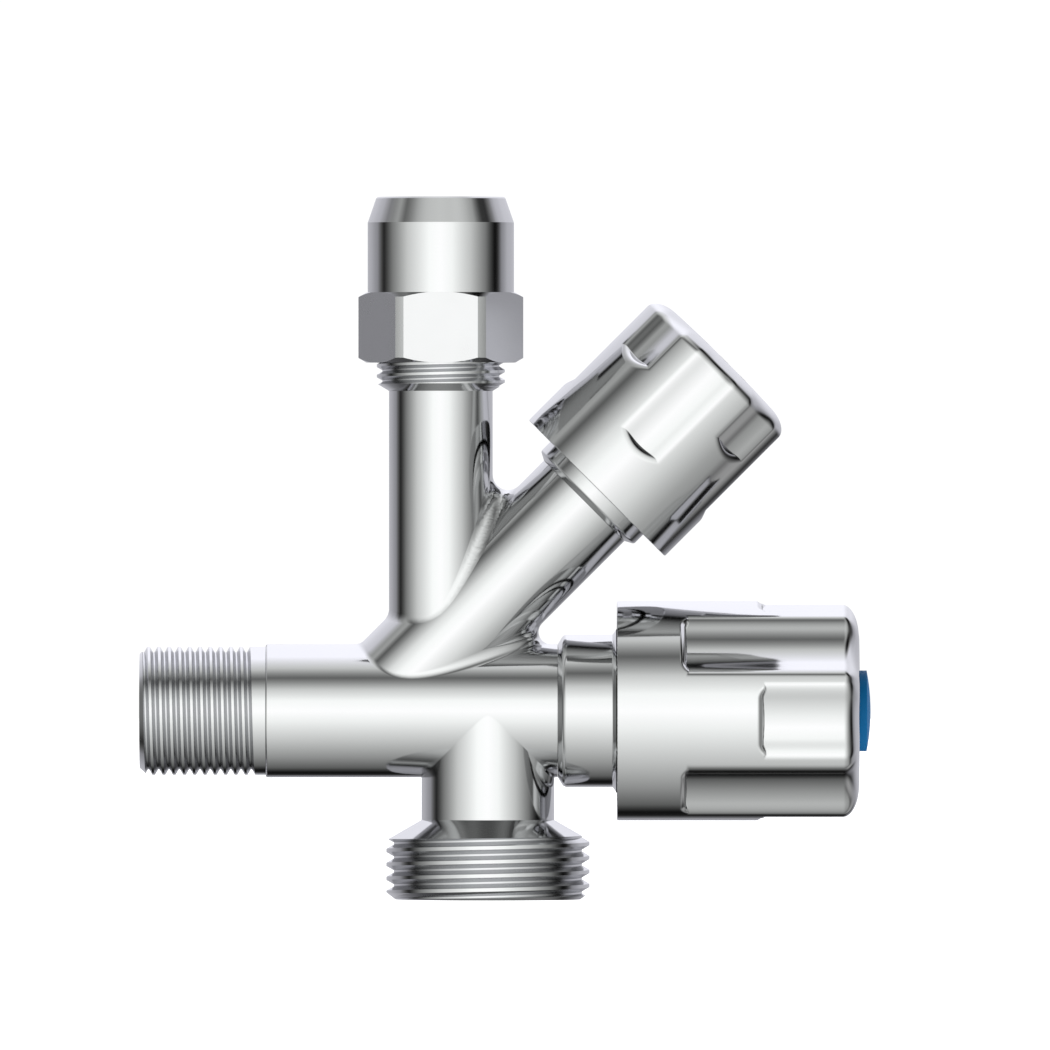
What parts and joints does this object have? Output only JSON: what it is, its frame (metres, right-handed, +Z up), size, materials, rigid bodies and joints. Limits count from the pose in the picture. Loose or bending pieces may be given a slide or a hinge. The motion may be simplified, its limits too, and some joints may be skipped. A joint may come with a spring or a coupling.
{
  "type": "angle valve",
  "caption": "Chromed angle valve with a threaded inlet, a downward appliance outlet, an upward pipe union and a separate fluted handwheel for each outlet.",
  "frame": {"origin": "centre of the inlet nipple's shoulder, on the inlet axis", "axes": "+X from the inlet nipple along the barrel to the large handwheel, +Z up along the pipe union, -Y to the front"},
  "size_m": [0.095, 0.0286, 0.0913],
  "materials": {
    "chrome": "polished chrome plate on brass",
    "blue_cap": "gloss",
    "brass": "turned",
    "rubber": "matte",
    "steel": "zinc plated"
  },
  "bodies": {
    "valve": {"valve_body": "chrome", "main_bonnet": "chrome", "main_bonnet_seal": "rubber", "branch_bonnet": "chrome", "branch_bonnet_seal": "rubber"},
    "main_handwheel": {"main_knob": "chrome", "main_knob_screw": "steel", "main_spindle": "brass", "main_spindle_o_rings": "rubber", "main_spindle_clip": "steel", "main_indicator_cap": "blue_cap"},
    "main_plunger": {"main_piston": "brass", "main_piston_o_ring": "rubber", "main_seat_washer": "rubber", "main_washer_screw": "steel"},
    "branch_handwheel": {"branch_knob": "chrome", "branch_knob_screw": "steel", "branch_spindle": "brass", "branch_spindle_o_rings": "rubber", "branch_spindle_clip": "steel", "branch_cap": "chrome"},
    "branch_plunger": {"branch_piston": "brass", "branch_piston_o_ring": "rubber", "branch_seat_washer": "rubber", "branch_washer_screw": "steel"},
    "ring": {"compression_ring": "brass"},
    "nut": {"union_nut": "chrome"}
  },
  "joints": [
    {"name": "main_knob_turn", "type": "hinge", "parent": "valve", "child": "main_handwheel", "pos_m": [0.05, 0, 0], "axis": [1, 0, 0], "range_deg": [0, 1081]},
    {"name": "main_piston_lift", "type": "slide", "parent": "valve", "child": "main_plunger", "axis": [1, 0, 0], "range_m": [0, 0.0045]},
    {"name": "branch_knob_turn", "type": "hinge", "parent": "valve", "child": "branch_handwheel", "pos_m": [0.04944, 0, 0.03536], "axis": [0.7071, 0, 0.7071], "range_deg": [0, 721]},
    {"name": "branch_piston_lift", "type": "slide", "parent": "valve", "child": "branch_plunger", "axis": [0.7071, 0, 0.7071], "range_m": [0, 0.003]},
    {"name": "ring_travel", "type": "slide", "parent": "valve", "child": "ring", "axis": [0, 0, 1], "range_m": [0, 0.00668]},
    {"name": "union_nut_turn", "type": "hinge", "parent": "ring", "child": "nut", "pos_m": [0.02276, 0, 0.05], "axis": [0, 0, 1], "range_deg": [0, 1801]}
  ],
  "couplings": [
    {"joint": "main_knob_turn", "follows": "main_piston_lift", "rad_per_m": 4188.8},
    {"joint": "branch_knob_turn", "follows": "branch_piston_lift", "rad_per_m": 4188.8},
    {"joint": "union_nut_turn", "follows": "ring_travel", "rad_per_m": 4699.5}
  ]
}
